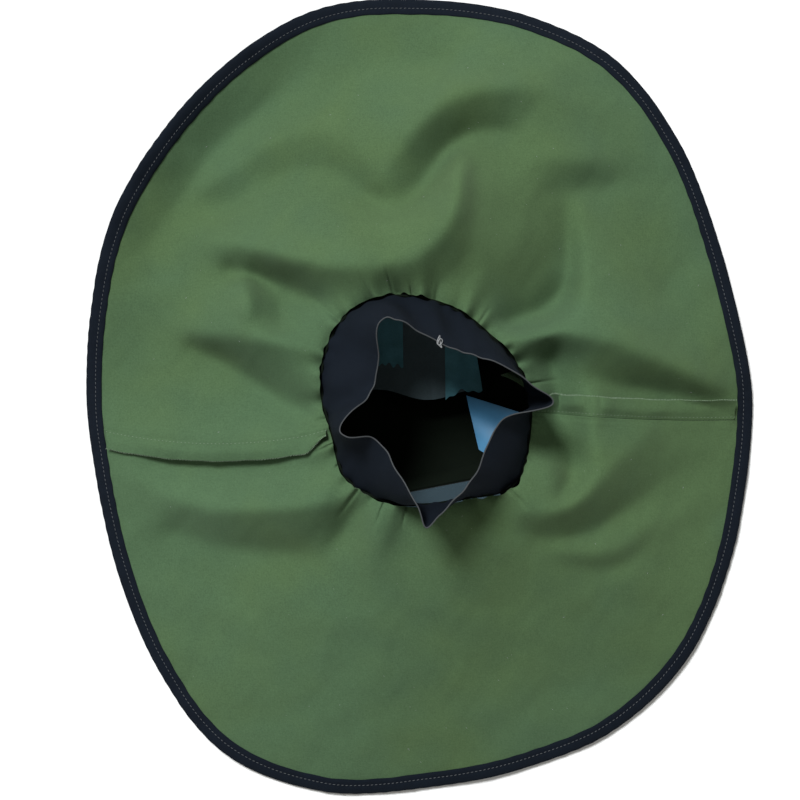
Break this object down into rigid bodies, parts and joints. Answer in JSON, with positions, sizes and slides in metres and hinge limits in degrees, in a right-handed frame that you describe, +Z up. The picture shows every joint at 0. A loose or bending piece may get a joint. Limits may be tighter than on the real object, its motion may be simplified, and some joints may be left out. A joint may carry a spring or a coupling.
{
  "type": "sandblasting hood",
  "caption": "Canvas blasting hood lying crown down: wide bound cape spread inside up, elastic neck cuff, slumped head bag with framed visor",
  "frame": {"origin": "on the floor, under the middle of the cape's outline", "axes": "+Z up as it lies crown down, +Y towards the back of the hood, +X towards the picture's right"},
  "size_m": [0.6626, 0.7916, 0.1791],
  "materials": {
    "canvas": "plain-woven cotton canvas, faded olive green, dull",
    "dark_canvas": "the same canvas seen inside the head bag, dark olive",
    "edge_tape": "navy bias tape with one row of grey stitches",
    "navy_cloth": "soft navy lining cloth, serged free edge",
    "pad_cloth": "grey-brown lining cloth over a thin pad",
    "teal_cloth": "thin teal lining cloth",
    "blue_film": "thin clear blue film",
    "visor_frame": "black moulded plastic",
    "visor_pane": "clear pane"
  },
  "bodies": {
    "root": {"cape_back": "canvas", "cape_front": "canvas", "cape_binding": "edge_tape", "seam_flap_left": "canvas", "seam_flap_right": "canvas", "neck_cuff": "navy_cloth", "hood_body": "dark_canvas", "nape_pad": "pad_cloth", "teal_strip": "teal_cloth", "teal_pocket": "teal_cloth", "blue_film": "blue_film", "side_seam_right": "canvas", "side_seam_left": "canvas", "visor_frame": "visor_frame", "visor_pane": "visor_pane"}
  },
  "joints": []
}
